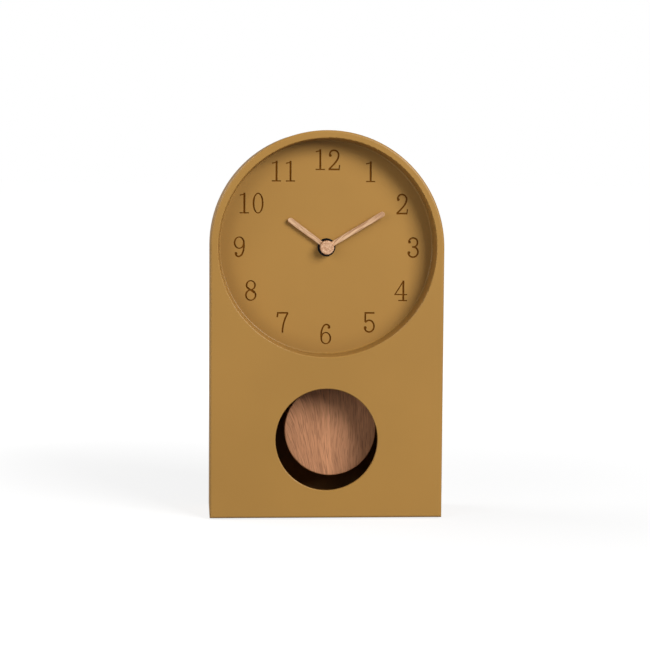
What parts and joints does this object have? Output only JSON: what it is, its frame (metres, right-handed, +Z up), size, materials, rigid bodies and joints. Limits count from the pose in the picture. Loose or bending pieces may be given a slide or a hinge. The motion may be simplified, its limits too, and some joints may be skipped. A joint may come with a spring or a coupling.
{
  "type": "desk pendulum clock",
  "caption": "Arch-topped desk clock with a sunk round dial, wooden hands and a wooden pendulum bob swinging behind a round window, driven by a battery movement.",
  "frame": {"origin": "on the table, under the middle of the case", "axes": "+X to the right as seen from the front, +Y to the back, +Z up"},
  "size_m": [0.18, 0.07, 0.3],
  "materials": {
    "ochre_paint": "satin ochre paint over a moulded shell",
    "black_plastic": "fine-grained black moulding",
    "housing_plastic": "smooth black moulding of the movement's housing",
    "hand_wood": "pale straight-grained wood",
    "cap_wood": "orange-brown end-grain wood",
    "bob_wood": "mid-brown straight-grained wood",
    "black_metal": "black nut",
    "brass": "turned brass",
    "steel": "plain steel",
    "gear_plastic": "off-white gear moulding",
    "magnet": "dark sintered magnet",
    "copper": "lacquered copper winding",
    "board_green": "green circuit laminate",
    "chip_resin": "black resin over the chip",
    "battery_jacket": "plain dark jacket with a bare metal end",
    "rubber": "soft black rubber"
  },
  "bodies": {
    "case": {"front_shell": "ochre_paint", "rear_cover": "black_plastic", "rear_cover_screws": "steel", "foot_pads": "rubber", "dial_gasket": "rubber", "dial_washer": "brass", "dial_nut": "black_metal", "centre_bush": "brass", "movement_tray": "housing_plastic", "movement_back": "housing_plastic", "movement_screws": "steel", "train_bridge": "gear_plastic", "stator": "steel", "coil_core": "steel", "coil_bobbin": "gear_plastic", "motor_winding": "copper", "circuit_board": "board_green", "board_chip": "chip_resin", "quartz_crystal": "steel", "battery": "battery_jacket", "positive_contact": "steel", "negative_contact": "steel", "drive_coil": "copper", "pivot_pin": "steel", "pivot_clip": "steel"},
    "minute_hand_set": {"minute_spindle": "brass", "minute_hand": "hand_wood", "minute_hand_bush": "brass", "hand_cap": "cap_wood"},
    "hour_hand_set": {"hour_wheel": "gear_plastic", "hour_hand": "hand_wood", "hour_hand_bush": "brass"},
    "minute_wheel_set": {"minute_wheel": "gear_plastic"},
    "setting_set": {"setting_arbor": "gear_plastic", "setting_knob": "housing_plastic"},
    "rotor_set": {"rotor_pinion": "gear_plastic", "rotor_magnet": "magnet"},
    "intermediate_set": {"intermediate_wheel": "gear_plastic"},
    "seconds_set": {"seconds_wheel": "gear_plastic"},
    "third_set": {"third_wheel": "gear_plastic"},
    "centre_set": {"centre_wheel": "gear_plastic"},
    "pendulum_set": {"pendulum_arm": "gear_plastic", "pendulum_magnet": "magnet", "pendulum_rod": "steel", "pendulum_bob": "bob_wood", "bob_clip": "steel", "bob_screws": "steel"}
  },
  "joints": [
    {"name": "minute_turn", "type": "hinge", "parent": "case", "child": "minute_hand_set", "pos_m": [0, 0, 0.21], "axis": [0, 1, 0], "continuous": true},
    {"name": "hour_turn", "type": "hinge", "parent": "case", "child": "hour_hand_set", "pos_m": [0, 0, 0.21], "axis": [0, 1, 0], "continuous": true},
    {"name": "minute_wheel_turn", "type": "hinge", "parent": "case", "child": "minute_wheel_set", "pos_m": [-0.012, 0, 0.21], "axis": [0, 1, 0], "continuous": true},
    {"name": "setting_turn", "type": "hinge", "parent": "case", "child": "setting_set", "pos_m": [-0.02288, 0, 0.20493], "axis": [0, 1, 0], "continuous": true},
    {"name": "seconds_turn", "type": "hinge", "parent": "case", "child": "seconds_set", "pos_m": [0, 0, 0.21], "axis": [0, 1, 0], "continuous": true},
    {"name": "intermediate_turn", "type": "hinge", "parent": "case", "child": "intermediate_set", "pos_m": [0.0168, 0, 0.21], "axis": [0, 1, 0], "continuous": true},
    {"name": "rotor_turn", "type": "hinge", "parent": "case", "child": "rotor_set", "pos_m": [0.0217, 0, 0.21849], "axis": [0, 1, 0], "continuous": true},
    {"name": "third_turn", "type": "hinge", "parent": "case", "child": "third_set", "pos_m": [-0.0085, 0, 0.22472], "axis": [0, 1, 0], "continuous": true},
    {"name": "centre_turn", "type": "hinge", "parent": "case", "child": "centre_set", "pos_m": [0, 0, 0.21], "axis": [0, 1, 0], "continuous": true},
    {"name": "pendulum_swing", "type": "hinge", "parent": "case", "child": "pendulum_set", "pos_m": [0, 0, 0.17016], "axis": [0, -1, 0], "range_deg": [-10.5, 5.5]}
  ],
  "couplings": [
    {"joint": "hour_turn", "follows": "minute_turn", "ratio": 0.083333},
    {"joint": "minute_wheel_turn", "follows": "minute_turn", "ratio": -0.33333},
    {"joint": "setting_turn", "follows": "minute_turn", "ratio": 1},
    {"joint": "intermediate_turn", "follows": "seconds_turn", "ratio": -5},
    {"joint": "rotor_turn", "follows": "seconds_turn", "ratio": 30},
    {"joint": "third_turn", "follows": "seconds_turn", "ratio": -0.13333},
    {"joint": "centre_turn", "follows": "seconds_turn", "ratio": 0.016667}
  ]
}
